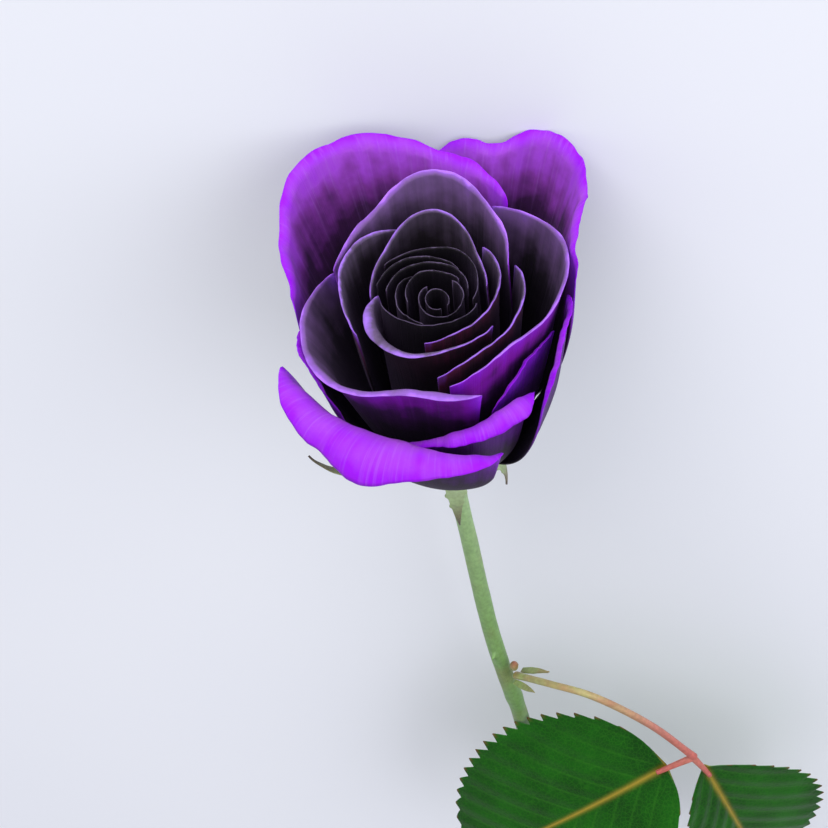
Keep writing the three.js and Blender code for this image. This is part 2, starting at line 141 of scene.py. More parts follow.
@dataclass(frozen=True)
class LyingPose:
    """How the upright flower lies in the row frame.

    Attributes:
        tilt: how many degrees the stem drops from the bloom to its cut end.
        roll: turn about the bloom's axis in degrees.
        origin: where the petals' foot lies in the row frame, in millimetres.
    """

    tilt: float = 10.59
    roll: float = 12.04
    origin: tuple[float, float, float] = (0.0, 0.0, 0.0)

    def matrix(self) -> Array:
        """The turn from the upright flower to the row frame.

        Returns:
            A 3 by 3 matrix: first the roll about the bloom's axis, then the laying down.
        """
        tilt, roll = math.radians(self.tilt), math.radians(self.roll)
        lay = np.column_stack([
            (-1.0, 0.0, 0.0),
            (0.0, -math.sin(tilt), -math.cos(tilt)),
            (0.0, -math.cos(tilt), math.sin(tilt)),
        ])
        turn = np.array([
            (math.cos(roll), -math.sin(roll), 0.0),
            (math.sin(roll), math.cos(roll), 0.0),
            (0.0, 0.0, 1.0),
        ])
        return lay @ turn

    def place(self, points: Array) -> Array:
        """Lay points of the upright flower, in millimetres, down in the row frame, in metres."""
        return (points @ self.matrix().T + np.array(self.origin)) * MM

    def direction(self, vector: Sequence[float]) -> Array:
        """Turn a direction of the upright flower into the row frame."""
        return self.matrix() @ np.array(vector, float)

    @classmethod
    def from_frame(cls, profile: Array, node: str) -> "LyingPose":
        """Find the pose's origin from the box of one turned piece.

        Args:
            profile: radius and height of the turned piece, in millimetres.
            node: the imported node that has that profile.

        Returns:
            The pose that puts the piece's box on the node's box.
        """
        phi = turns(24)
        r, z = profile[:, :1], np.repeat(profile[:, 1:], phi.size, axis=1)
        ring = np.stack([r * np.sin(phi), r * np.cos(phi), z], axis=-1).reshape(-1, 3)
        laid = cls().place(ring) / MM
        low, high = (np.array(corner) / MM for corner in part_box(node))
        return cls(origin=tuple((low + high) / 2 - (laid.min(0) + laid.max(0)) / 2))


# ---- meshes -------------------------------------------------------------------------------


@dataclass
class Piece:
    """A mesh in the making.

    Attributes:
        name: the object's name.
        points: vertices in millimetres in the upright flower.
        faces: corners of each face, as indices into points.
        uv: one texture coordinate a vertex.
        marks: named numbers that the finish reads, one or three a vertex.
    """

    name: str
    points: Array
    faces: list[list[int]]
    uv: Array
    marks: dict[str, Array] = field(default_factory=dict)

    def build(self, pose: LyingPose, finish: bpy.types.Material, node: str,
              slot: str) -> bpy.types.Object:
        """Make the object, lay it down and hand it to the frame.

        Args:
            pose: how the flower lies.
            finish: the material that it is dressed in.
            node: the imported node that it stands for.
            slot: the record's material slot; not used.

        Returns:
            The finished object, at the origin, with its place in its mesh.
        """
        mesh = bpy.data.meshes.new(self.name)
        mesh.from_pydata(pose.place(self.points), [], self.faces)
        corner = np.empty(len(mesh.loops), np.int32)
        mesh.loops.foreach_get("vertex_index", corner)
        layer = mesh.uv_layers.new(name="UVMap")
        layer.data.foreach_set("uv", self.uv[corner].astype(np.float32).ravel())
        for label, values in self.marks.items():
            kind, key = ("FLOAT_VECTOR", "vector") if values.ndim == 2 else ("FLOAT", "value")
            mark = mesh.attributes.new(label, kind, "POINT")
            mark.data.foreach_set(key, values.astype(np.float32).ravel())
        mesh.polygons.foreach_set("use_smooth", np.ones(len(mesh.polygons), bool))
        mesh.materials.append(finish)
        mesh.validate()
        mesh.update()
        piece = bpy.data.objects.new(self.name, mesh)
        bpy.context.scene.collection.objects.link(piece)
        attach(piece, BODY)
        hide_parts(node)
        log.info("%s: %d vertices, %d faces", self.name, len(mesh.vertices), len(mesh.polygons))
        return piece


def closed_sheet(name: str, middle: Array, thickness: Array, **marks: Array) -> Piece:
    """A thin closed body: the middle surface moved half its thickness each way along its normal,
    with a band of quads round its border.

    Args:
        name: the piece's name.
        middle: points of the middle surface, a grid of across by rows.
        thickness: full thickness at each point.
        marks: numbers on the same grid for the finish to read.

    Returns:
        The piece. Its mark "sheet" holds s, t and 1 on the face against the normal, else 0.
    """
    s, t = grid(middle.shape[0] - 1, middle.shape[1] - 1)
    shift = surface_normals(middle) * thickness[..., None] / 2
    index = np.arange(s.size).reshape(s.shape)
    cell = np.stack([index[:-1, :-1], index[1:, :-1], index[1:, 1:], index[:-1, 1:]], -1).reshape(-1, 4)
    border = np.concatenate([index[:-1, 0], index[-1, :-1], index[:0:-1, -1], index[0, :0:-1]])
    after = np.roll(border, -1)
    band = np.stack([border + index.size, after + index.size, after, border], -1)
    under = np.roll(cell[:, ::-1], 1, axis=1) + index.size
    both = {key: np.concatenate([value.ravel()] * 2) for key, value in marks.items()}
    inner = np.repeat([0.0, 1.0], index.size)
    both["sheet"] = np.stack([np.tile(s.ravel(), 2), np.tile(t.ravel(), 2), inner], -1)
    return Piece(
        name,
        np.concatenate([(middle + shift).reshape(-1, 3), (middle - shift).reshape(-1, 3)]),
        np.concatenate([cell, under, band]).tolist(),
        np.stack([(both["sheet"][:, 0] + 1) / 2, both["sheet"][:, 1]], -1),
        both,
    )


def closed_rings(name: str, rings: Array, ends: Array) -> Piece:
    """A closed body through rings of points: quads from each ring to the next, and a fan of
    triangles from each end ring to its end point.

    Args:
        name: the piece's name.
        rings: points on a grid of stations by sides.
        ends: the two end points.

    Returns:
        The piece. Its mark "sheet" holds the turn round the axis, the share along it and 0.
    """
    count, sides = rings.shape[:2]
    index = np.arange(count * sides).reshape(count, sides)
    ahead = np.roll(index, -1, axis=1)
    wall = np.stack([index[:-1], ahead[:-1], ahead[1:], index[1:]], -1).reshape(-1, 4)
    caps = np.concatenate([
        np.stack([ahead[0], index[0], np.full(sides, index.size)], -1),
        np.stack([index[-1], ahead[-1], np.full(sides, index.size + 1)], -1)])
    share = np.repeat(np.linspace(0, 1, count), sides)
    mark = np.stack([np.tile(np.arange(sides) / sides, count), share, np.zeros_like(share)], -1)
    mark = np.concatenate([mark, [[0.5, 0.0, 0.0], [0.5, 1.0, 0.0]]])
    points = np.concatenate([rings.reshape(-1, 3), ends])
    return Piece(name, points, wall.tolist() + caps.tolist(), mark[:, :2], {"sheet": mark})


def closed_tube(name: str, path: Array, radius: Array, reference: Sequence[float]) -> Piece:
    """A round body along a path: each ring stands square to the path.

    Args:
        name: the piece's name.
        path: points of the centreline.
        radius: radii on a grid of stations by sides.
        reference: a direction that the path never runs along, which fixes the rings' turn.

    Returns:
        The closed piece.
    """
    run = unit(np.gradient(path, axis=0))
    side = unit(np.cross(run, np.array(reference, float)))
    lift = np.cross(side, run)
    turn = turns(radius.shape[1])[:, None]
    around = side[:, None] * np.cos(turn) - lift[:, None] * np.sin(turn)
    return closed_rings(name, path[:, None] + around * radius[..., None], path[[0, -1]])


def joined(pieces: Sequence[Piece]) -> Piece:
    """Several closed bodies as one piece.

    Args:
        pieces: bodies with only the mark "sheet", whose first two numbers are their uv.

    Returns:
        All their points and faces, under the first one's name.
    """
    starts = np.cumsum([0] + [len(piece.points) for piece in pieces]).tolist()
    faces = [[corner + start for corner in face]
             for piece, start in zip(pieces, starts) for face in piece.faces]
    points, marks = (np.concatenate(parts) for parts in zip(*((p.points, p.marks["sheet"]) for p in pieces)))
    return Piece(pieces[0].name, points, faces, marks[:, :2], {"sheet": marks})


def smooth_path(route: Sequence[Sequence[float]], count: int) -> Array:
    """A Catmull-Rom line through given points, read at even steps.

    Args:
        route: the points.
        count: how many to read.

    Returns:
        The points read, one a row.
    """
    s = np.linspace(-1, 1, count)
    return np.stack([along(axis, s) for axis in np.array(route, float).T], -1)


# ---- colours and shader nodes -------------------------------------------------------------


def linear(colour: str) -> tuple[float, float, float, float]:
    """Turn an sRGB hex colour into linear red, green, blue and alpha."""
    parts = (int(colour[i:i + 2], 16) / 255 for i in (1, 3, 5))
    return (*(c / 12.92 if c <= 0.04045 else ((c + 0.055) / 1.055) ** 2.4 for c in parts), 1.0)


class Coat:
    """A material in the making.

    Attributes:
        material: the material itself.
        tree: its nodes.
        shader: its main shader.
    """

    def __init__(self, name: str) -> None:
        """Start a material that has only its main shader.

        Args:
            name: the material's name.
        """
        self.material = bpy.data.materials.new(name)
        self.material.use_nodes = True
        self.tree = self.material.node_tree
        self.shader = self.tree.nodes["Principled BSDF"]

    def connect(self, node: bpy.types.Node, inputs: dict[Any, Any]) -> None:
        """Fill a node's sockets.

        Args:
            node: the node.
            inputs: socket name or number to a number, a hex colour, another node's output, or
                a node, which stands for its first output.
        """
        for key, value in inputs.items():
            source = value.outputs[0] if isinstance(value, bpy.types.Node) else value
            if isinstance(source, bpy.types.NodeSocket):
                self.tree.links.new(source, node.inputs[key])
            else:
                node.inputs[key].default_value = linear(value) if isinstance(value, str) else value

    def add(self, kind: str, inputs: Optional[dict[Any, Any]] = None, stops: Sequence[tuple[float, str]] = (),
            **settings: Any) -> bpy.types.Node:
        """Add one node with its settings and links.

        Args:
            kind: the node's type, without ShaderNode in front.
            inputs: what its sockets take, as connect reads it.
            stops: a colour ramp's places and hex colours.
            settings: properties of the node.

        Returns:
            The new node.
        """
        node = self.tree.nodes.new("ShaderNode" + kind)
        for key, value in settings.items():
            setattr(node, key, value)
        self.connect(node, inputs or {})
        for _ in stops[2:]:
            node.color_ramp.elements.new(0.5)
        for k, (place, colour) in enumerate(stops):
            node.color_ramp.elements[k].position = place
            node.color_ramp.elements[k].color = linear(colour)
        return node

    def sheet(self) -> tuple[bpy.types.NodeSocket, ...]:
        """The mark "sheet" as a vector, then its three numbers: across, along and side."""
        mark = self.add("Attribute", attribute_name="sheet").outputs["Vector"]
        return mark, *self.add("SeparateXYZ", {0: mark}).outputs

    def place(self) -> bpy.types.NodeSocket:
        """Object coordinates, in metres, so that a scale of 1000 repeats every millimetre."""
        return self.add("TexCoord").outputs["Object"]

    def finish(self, colour: Any, height: Any, strength: float, depth: float,
               inputs: dict[str, Any]) -> bpy.types.Material:
        """Connect the main shader.

        Args:
            colour: the surface's colour.
            height: the relief, drawn as bump.
            strength: the bump's strength, from 0 to 1.
            depth: the bump's depth in metres.
            inputs: the shader's other sockets.

        Returns:
            The finished material.
        """
        bump = self.add("Bump", {"Height": height, "Strength": strength, "Distance": depth})
        self.connect(self.shader, {"Base Color": colour, "Normal": bump, **inputs})
        return self.material


# ---- petals' finish -----------------------------------------------------------------------


class PetalZone(Enum):
    """Which part of the bloom a petal belongs to."""

    GUARD = "guard"
    CUP = "cup"
    INNER = "inner"
    HEART = "heart"


@dataclass(frozen=True)
class PetalVelvet:
    """Dyed rose petal: a velvety skin of tiny cones that drinks light face on and glows at
    grazing angles, its dyed colour strongest at the margin, with painted shade making each face
    near black towards its foot deep in the bloom, and fine veins fanning from the foot whose
    raised crests carry a painted highlight.

    Attributes:
        name: the material's name.
        slot: the record's material slot.
        inside: colours on the face towards the heart, from foot to margin; the near-black stops
            towards the foot are painted shade as well as dyed colour.
        outside: colours on the face away from the heart, from foot to margin; the near-black stops
            towards the foot are painted shadow as well as dyed colour.
        painted_vein_highlight: colour of the painted highlight that the raised veins catch.
        painted_highlight_share: how much of the face the painted highlight along the veins takes.
    """

    name: str
    slot: str
    inside: tuple[tuple[float, str], ...]
    outside: tuple[tuple[float, str], ...]
    painted_vein_highlight: str
    painted_highlight_share: float = 0.3

    def make(self) -> bpy.types.Material:
        """Build the material.

        Returns:
            A material that reads the mark "sheet": s across, t along and the side.
        """
        coat = Coat(self.name)
        mark, _, far, side = coat.sheet()
        place = coat.place()
        # Veins run from foot to margin, about 0.6 mm apart on a 50 mm wide petal.
        fine = coat.add("Mapping", {0: mark, "Scale": (52.0, 2.6, 3.0)})
        veins = coat.add("TexNoise", {"Vector": fine, "Scale": 1.0, "Detail": 3.0, "Roughness": 0.6})
        broad = coat.add("Mapping", {0: mark, "Scale": (9.0, 1.6, 5.0)})
        bands = coat.add("TexNoise", {"Vector": broad, "Scale": 1.0, "Detail": 2.0, "Roughness": 0.5})
        # Dye soaks unevenly: blotches about 8 mm across, which shift the dyed colour and the
        # painted shade alike.
        blotch = coat.add("TexNoise", {"Vector": place, "Scale": 120.0, "Detail": 3.0, "Roughness": 0.55})
        wander = coat.add("Math", {0: blotch, 1: 0.26, 2: -0.13}, operation="MULTIPLY_ADD")
        spread = coat.add("Math", {0: bands, 1: 0.22, 2: -0.11}, operation="MULTIPLY_ADD")
        dye_and_shade_reach = coat.add("Math", {0: far, 1: wander}, operation="ADD")
        depth = coat.add("Math", {0: dye_and_shade_reach, 1: spread}, operation="ADD", use_clamp=True)
        # Painted shade: both ramps take each face from near black at its foot, deep in the bloom, to its dyed
        # colour at the margin.
        inside = coat.add("ValToRGB", {0: depth}, self.inside)
        outside = coat.add("ValToRGB", {0: depth}, self.outside)
        dye_and_painted_shade = coat.add("Mix", {0: side, 6: outside, 7: inside}, data_type="RGBA").outputs[2]
        # Painted highlight: the crests of the raised veins are lightened, more so towards the margin.
        crest = coat.add("MapRange", {0: veins, 1: 0.5, 2: 0.74, 3: 0.0, 4: self.painted_highlight_share},
                         interpolation_type="SMOOTHSTEP")
        rise = coat.add("MapRange", {0: depth, 1: 0.45, 2: 0.85, 3: 0.0, 4: 1.0},
                        interpolation_type="SMOOTHSTEP")
        painted_highlight_mask = coat.add("Math", {0: crest, 1: rise}, operation="MULTIPLY")
        colour = coat.add("Mix", {0: painted_highlight_mask, 6: dye_and_painted_shade, 7: self.painted_vein_highlight}, data_type="RGBA").outputs[2]
        folds = coat.add("Math", {0: bands, 1: veins}, operation="ADD")
        # Cell cones of about 0.4 mm, coarser than the real 0.03 mm so that they show.
        cells = coat.add("TexNoise", {"Vector": place, "Scale": 2400.0, "Detail": 1.0})
        height = coat.add("Math", {0: cells, 1: 0.25, 2: folds}, operation="MULTIPLY_ADD")
        return coat.finish(colour, height, 0.55, 0.00022, {
            "Roughness": 0.62, "Specular IOR Level": 0.16, "Sheen Weight": 0.06, "Sheen Roughness": 0.45,
            "Sheen Tint": "#C9A8F0", "Subsurface Weight": 0.12, "Subsurface Scale": 1.0,
            "Subsurface Radius": (0.0012, 0.0006, 0.0014)})


# The near-black stops towards each petal's foot are painted shade deep in the bloom as well as dyed colour;
# the lighter colour each finish gives its raised veins is a painted highlight.
PETAL_FINISHES = {
    PetalZone.GUARD: PetalVelvet(
        "petal_skin_violet", "outer_petal",
        inside=((0.0, "#060407"), (0.5, "#0E090F"), (0.62, "#351540"), (0.72, "#74308E"),
                (0.8, "#9440C4"), (1.0, "#8C06D8")),
        outside=((0.0, "#0E0712"), (0.4, "#1A0A22"), (0.62, "#4A0C70"), (0.8, "#7808C0"), (1.0, "#8C10E0")),
        painted_vein_highlight="#A878D8", painted_highlight_share=0.16),
    PetalZone.CUP: PetalVelvet(
        "petal_skin_plum", "outer_petal",
        inside=((0.0, "#030204"), (0.5, "#070508"), (0.62, "#1A161D"), (0.72, "#4C3A5A"),
                (0.84, "#6E5088"), (0.94, "#8052B0"), (1.0, "#A268E4")),
        outside=((0.0, "#040205"), (0.5, "#0E0610"), (0.62, "#340644"), (0.74, "#740A96"),
                 (0.88, "#8410C8"), (1.0, "#9C30F0")),
        painted_vein_highlight="#8A6CA0", painted_highlight_share=0.1),
    PetalZone.INNER: PetalVelvet(
        "petal_skin_dark", "inner_petal",
        inside=((0.0, "#020203"), (0.56, "#060507"), (0.7, "#1E191F"), (0.8, "#43384C"),
                (0.9, "#5C4A6E"), (1.0, "#9468D4")),
        outside=((0.0, "#030203"), (0.6, "#0A0709"), (0.74, "#26121C"), (0.84, "#4A1430"),
                 (0.92, "#5C267A"), (1.0, "#8444CE")),
        painted_vein_highlight="#5E5068", painted_highlight_share=0.08),
    PetalZone.HEART: PetalVelvet(
        "petal_skin_black", "heart_petal",
        inside=((0.0, "#010101"), (0.76, "#040304"), (0.89, "#131015"), (0.97, "#2C2533"), (1.0, "#564A66")),
        outside=((0.0, "#020102"), (0.76, "#050405"), (0.9, "#161217"), (0.97, "#2C2533"), (1.0, "#564A66")),
        painted_vein_highlight="#2C2732", painted_highlight_share=0.1),
}


# ---- petals -------------------------------------------------------------------------------


@dataclass(frozen=True)
class PetalShape:
    """One petal: it rises from its foot on the receptacle to a crest and ends in a margin that
    rolls outwards.

    Attributes:
        name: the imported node's name.
        zone: which part of the bloom it belongs to.
        order: 0 at the heart to 1 outermost; sets where its foot stands and how it bellies out.
        azimuth: the azimuth of its middle, in degrees.
        span: half of the azimuth that it covers, in degrees.
        radius: the crest's radius at equal steps of azimuth.
        height: the crest's height at equal steps of azimuth.
        lean: the crest's slope from upright, in degrees.
        roll: the length of the rolled margin.
        curl: the angle that the margin turns through, in degrees.
        rise: how far the foot's slope carries, as a share of the petal's length.
        tip: extra margin at the middle, which makes a point.
        ruffle: height of the waves along the margin.
    """

    name: str
    zone: PetalZone
    order: float
    azimuth: float
    span: float
    radius: Stations
    height: Stations
    lean: Stations = 0.0
    roll: Stations = 0.5
    curl: Stations = 60.0
    rise: Optional[Stations] = None
    tip: float = 0.0
    ruffle: float = 0.15

    FOOT_RADII = (2.0, 9.5)  # of the innermost and the outermost petal
    FOOT_HEIGHTS = (2.0, 0.0)
    FOOT_SLOPES = (15.0, 75.0)  # degrees from upright
    FOOT_RISES = (0.26, 0.36)
    FOOT_HALF_ANGLE = 34.0
    FULL_WIDTH_AT = 0.55  # share of the body
    CREST_REACH = 0.34
    MARGIN_START = 0.8
    CORNER_START = 0.6
    CORNER_DROP = 0.2
    TIP_WIDTH = 0.16
    # Size, rates across and along, seed shift, and the shares along where each starts and is full.
    WAVES = ((1.0, 7.5, 1.3, 0.0, 0.5, 0.95), (0.35, 3.1, 4.0, 2.0, 0.0, 0.5),
             (0.3, 21.0, 2.0, 1.0, 0.7, 1.0))

    def middle(self, s: Array, t: Array) -> Array:
        """The petal's middle surface.

        Below the crest it is a cubic Bezier curve in the plane through the axis, from the foot's
        slope to the crest's. Past the crest it is an arc as long as the roll. Across, the petal
        widens from its foot to its full span, and its upper corners are rounded off.

        Args:
            s: across, from -1 to 1.
            t: along, from 0 at the foot to 1 at the margin.

        Returns:
            Points in millimetres.
        """
        corner = np.clip((np.abs(s) - self.CORNER_START) / (1 - self.CORNER_START), 0, 1)
        t = t * (1 - self.CORNER_DROP * (1 - np.sqrt(1 - 0.995 * corner ** 2)))
        foot, foot_height = self.by_order(self.FOOT_RADII), self.by_order(self.FOOT_HEIGHTS)
        steep = math.radians(np.interp(self.order ** 2, (0, 1), self.FOOT_SLOPES))
        rise = self.by_order(self.FOOT_RISES) if self.rise is None else self.rise
        radius, height = along(self.radius, s), along(self.height, s)
        slope, turn = np.radians(along(self.lean, s)), np.radians(along(self.curl, s))
        margin = np.maximum(along(self.roll, s), 0) + self.tip * bell(s / self.TIP_WIDTH)
        margin = margin + 0.6 * self.ruffle * ripple(14 * s, self.azimuth)
        chord = np.hypot(radius - foot, height - foot_height)
        reach, back = along(rise, s) * chord, self.CREST_REACH * chord
        body = np.clip(t / self.MARGIN_START, 0, 1)
        r = bezier((foot, foot + reach * math.sin(steep), radius - back * np.sin(slope), radius), body)
        z = bezier((foot_height, foot_height + reach * math.cos(steep),
                    height - back * np.cos(slope), height), body)
        end = slope + turn * np.clip((t - self.MARGIN_START) / (1 - self.MARGIN_START), 0, 1)
        r = r + margin * (np.cos(slope) - np.cos(end)) / turn
        z = z + margin * (np.sin(end) - np.sin(slope)) / turn
        foot_width = min(self.FOOT_HALF_ANGLE / self.span, 1.0)
        width = foot_width + (1 - foot_width) * smooth(body / self.FULL_WIDTH_AT)
        phi = np.radians(self.azimuth + self.span * s * width)
        return np.stack([r * np.cos(phi), r * np.sin(phi), z], -1)

    def by_order(self, ends: tuple[float, float]) -> float:
        """The value at this petal's order, between the innermost petal's and the outermost's."""
        return float(np.interp(self.order, (0, 1), ends))

    def piece(self, across: int, rows: int, thickness: float) -> Piece:
        """The closed petal: the middle surface with waves that grow towards the margin, given a
        thickness that thins to half at the margin.

        Args:
            across: grid steps across.
            rows: grid steps along.
            thickness: thickness of the body in millimetres.

        Returns:
            The petal's piece.
        """
        s, t = grid(across, rows)
        middle = self.middle(s, t)
        shift = sum(
            size * ripple(rate * s + climb * t, self.azimuth + seed) * smooth((t - start) / (full - start))
            for size, rate, climb, seed, start, full in self.WAVES)
        middle = middle + surface_normals(middle) * (self.ruffle * shift)[..., None]
        thin = thickness * (1 - 0.5 * smooth((t - self.MARGIN_START) / (1 - self.MARGIN_START)))
        return closed_sheet(self.name, middle, thin)


GUARD, CUP, INNER, HEART = PetalZone.GUARD, PetalZone.CUP, PetalZone.INNER, PetalZone.HEART

PETALS = (
    PetalShape("petal_heart_core", HEART, 0.0, 120, 150, (1.5, 2.2, 3.4, 2.8, 1.5), (48, 48.5, 49, 48.5, 48),
               roll=0.3, curl=40, ruffle=0.06),
    PetalShape("petal_heart_coil", HEART, 0.09, 270, 150, (4.9, 4.5, 4.7, 4.6, 6), 49,
               roll=0.4, curl=40, ruffle=0.08),
    PetalShape("petal_heart_left_inner", HEART, 0.17, 112, 62, (6.9, 7.6, 8.9, 8.2, 6.9), 49,
               roll=0.4, curl=40, ruffle=0.1),
    PetalShape("petal_heart_left_outer", HEART, 0.24, 176, 54, (9.9, 9.9, 9.3, 8.3, 6.5),
               (48, 49, 49, 49, 48), roll=0.4, curl=40, ruffle=0.1),
    PetalShape("petal_back_coil_inner", HEART, 0.29, 92, 66, (6.8, 8.8, 10.4, 11.8, 12),
               (48.5, 49, 49, 49, 49), roll=0.5, curl=40, ruffle=0.1),
    PetalShape("petal_back_coil_middle", HEART, 0.38, 107, 46, (9.8, 11.2, 12.7, 13.9, 14.6),
               (48.5, 49, 49.5, 49.5, 48.5), roll=0.5, curl=40, ruffle=0.1),
    PetalShape("petal_back_coil_outer", HEART, 0.44, 66, 68, (6.8, 9.9, 13.1, 13.9, 15.9),
               (48.5, 49.5, 50, 50, 49), roll=0.5, curl=40, ruffle=0.1),
    PetalShape("petal_front_coil", HEART, 0.4, 258, 88, (12.9, 9.3, 7.6, 7.3, 7.9), (48, 49.5, 50, 50, 49),
               roll=0.5, curl=60, ruffle=0.1),
    PetalShape("petal_right_heart", INNER, 0.52, 330, 82, (12, 10, 10.6, 13, 17.2), (49, 49.5, 50, 50, 49),
               lean=5, roll=0.8, curl=60),
    PetalShape("petal_left_heart", INNER, 0.58, 238, 82, (14.2, 14.8, 15.2, 13.2, 13.4),
               (46, 47.5, 48.5, 49, 49), lean=(10, 15, 10), roll=(1, 3, 2, 1.2, 1),
               curl=(90, 120, 110, 60, 60)),
    PetalShape("petal_back_inner", INNER, 0.6, 88, 74, (10.4, 14, 23.4, 17.8, 15.6), (49, 50, 51, 50, 47),
               roll=(0.5, 0.8, 0.8), curl=60),
    PetalShape("petal_left_inner", INNER, 0.68, 152, 44, (22, 22.8, 22.4, 20.6, 19.2),
               (49, 51, 51, 50, 47), lean=(5, 8, 8), roll=(0.8, 1, 0.8), curl=60),
    PetalShape("petal_right_inner", INNER, 0.7, 324, 62, (19.2, 17.2, 17, 17.5, 18.8), (47, 50, 50, 50, 48),
               lean=5, roll=0.8, curl=60, rise=0.24),
    PetalShape("petal_back_high", CUP, 0.78, 87, 63, (16.6, 23, 31, 26.6, 25), (50, 53, 54.5, 51, 48),
               lean=(0, 12, 10), roll=(1.5, 1.5, 1.2), curl=(80, 60, 60), ruffle=0.3),
    PetalShape("petal_right_cup", CUP, 0.82, 345, 76, (21.6, 20.2, 23.8, 29.4, 28.4), (47, 50, 50, 50, 49),
               lean=(5, 12, 12, 10, 10), roll=(1, 1.2, 1), curl=60, rise=(0.26, 0.26, 0.28, 0.3, 0.3),
               ruffle=0.3),
    PetalShape("petal_left_cup", CUP, 0.86, 214, 70, (27.6, 29.2, 28.6, 23.8, 25), (43, 44, 45, 48, 46),
               lean=(8, 28, 25, 20, 20), roll=(1, 2, 3), curl=(40, 90, 110), rise=0.26, ruffle=0.3),
    PetalShape("petal_right_low_inner", GUARD, 0.9, 318, 27, (22.6, 22, 21.6, 22.2, 24.2),
               (36, 41, 43, 43, 42), lean=10, roll=(1, 1.2, 1), curl=60, rise=0.24, ruffle=0.25),
    PetalShape("petal_front_flap", GUARD, 0.93, 277, 37, (23.4, 25, 26, 25, 24.6),
               (27, 33.5, 37.5, 39, 37), lean=20, roll=(1.5, 3, 5, 6.5, 3),
               curl=(90, 130, 140, 140, 90), rise=0.34, ruffle=0.3),
    PetalShape("petal_left_low", GUARD, 0.94, 184, 24, (29.4, 30, 30.4, 29.2, 27.2), (31, 38, 40, 38, 31),
               lean=(5, 8, 8), roll=(1, 2, 1), curl=60, rise=0.31, ruffle=0.35),
    PetalShape("petal_right_low", GUARD, 0.97, 338, 27, (28, 26.6, 26.2, 26.8, 27.4), (33, 41, 45, 45, 43),
               lean=(10, 8, 5), roll=(2, 2, 1.5), curl=60, ruffle=0.35),
    PetalShape("petal_back_left", GUARD, 0.98, 111.5, 56.5, (30.5, 34, 38, 44.5, 50, 48, 41, 34.8, 31.4),
               (49, 50, 50, 49, 48, 47, 44, 43, 43), lean=(10, 30, 30, 25, 0), roll=(3, 4, 4, 3.5, 2),
               curl=(100, 60, 60, 60, 60), ruffle=0.75),
    PetalShape("petal_front_tip", GUARD, 1.0, 238, 50, (35.4, 32, 29.4, 30.2, 30.6),
               (39, 38, 37.5, 36, 31.5), lean=(25, 30, 33, 33, 30), roll=(3, 9, 13, 8, 4),
               curl=(60, 120, 130, 110, 90), rise=0.41, tip=2.5, ruffle=0.4),
    PetalShape("petal_back_right", GUARD, 1.0, 48, 41, (29, 31, 34.5, 41.5, 47.5, 50.3, 45, 46.2, 47),
               (46, 49.5, 50.5, 50, 48.5, 47.5, 46.5, 46, 40), lean=(0, 20, 30, 30, 30),
               roll=(2, 4, 3), curl=50, ruffle=0.75),
)


@dataclass
class Bloom:
    """All the petals, with one finish for each zone.

    Attributes:
        petals: the petals from the heart outwards.
        thickness: thickness of a grown petal in millimetres.
        heart_thickness: thickness of a young petal.
    """

    petals: tuple[PetalShape, ...] = PETALS
    thickness: float = 0.4
    heart_thickness: float = 0.3

    def build(self, pose: LyingPose) -> None:
        """Build and dress every petal.

        Args:
            pose: how the flower lies.
        """
        skins = {zone: finish.make() for zone, finish in PETAL_FINISHES.items()}
        for shape in self.petals:
            young = shape.zone is PetalZone.HEART
            across, rows = (72, 48) if young else (96, 72)
            piece = shape.piece(across, rows, self.heart_thickness if young else self.thickness)
            piece.build(pose, skins[shape.zone], shape.name, PETAL_FINISHES[shape.zone].slot)


# ---- green parts' finish ------------------------------------------------------------------


@dataclass(frozen=True)
class GreenSkin:
    """Waxy young plant skin: smooth, faintly ribbed along its length, with a soft shine and
    patches of red where the sun caught it.

    Attributes:
        name: the material's name.
        stops: colours from one end of the piece to the other.
        blush: colour of the sunned patches.
        blush_share: how strong the patches are, from 0 to 1.
        roughness: how matt the skin is.
    """

    name: str
    stops: tuple[tuple[float, str], ...]
    blush: str
    blush_share: float
    roughness: float = 0.45

    def make(self) -> bpy.types.Material:
        """Build the material.

        Returns:
            A material that reads the mark "sheet" for the place along the piece.
        """
        coat = Coat(self.name)
        mark, _, far, _ = coat.sheet()
        place = coat.place()
        # Patches of blush about 10 mm across.
        patch = coat.add("TexNoise", {"Vector": place, "Scale": 95.0, "Detail": 4.0})
        speck = coat.add("TexNoise", {"Vector": place, "Scale": 900.0, "Detail": 2.0})
        green = coat.add("ValToRGB", {0: far}, self.stops)
        blush = coat.add("MapRange", {0: patch, 1: 0.48, 2: 0.72, 3: 0.0, 4: self.blush_share},
                         interpolation_type="SMOOTHSTEP")
        sunned = coat.add("Mix", {0: blush, 6: green, 7: self.blush}, data_type="RGBA").outputs[2]
        shade = coat.add("MapRange", {0: speck, 1: 0.3, 2: 0.7, 3: 0.82, 4: 1.12})
        colour = coat.add("Mix", {0: 1.0, 6: sunned, 7: shade},
                          data_type="RGBA", blend_type="MULTIPLY").outputs[2]
        # Ribs run the length of the piece, about 0.5 mm apart round a 4 mm stem.
        stretch = coat.add("Mapping", {0: mark, "Scale": (26.0, 3.0, 1.0)})
        ribs = coat.add("TexNoise", {"Vector": stretch, "Scale": 1.0, "Detail": 2.0})
        height = coat.add("Math", {0: speck, 1: 0.5, 2: ribs}, operation="MULTIPLY_ADD")
        return coat.finish(colour, height, 0.45, 0.0002, {
            "Roughness": self.roughness, "Subsurface Weight": 0.15, "Subsurface Scale": 1.0,
            "Subsurface Radius": (0.001, 0.0016, 0.0005)})


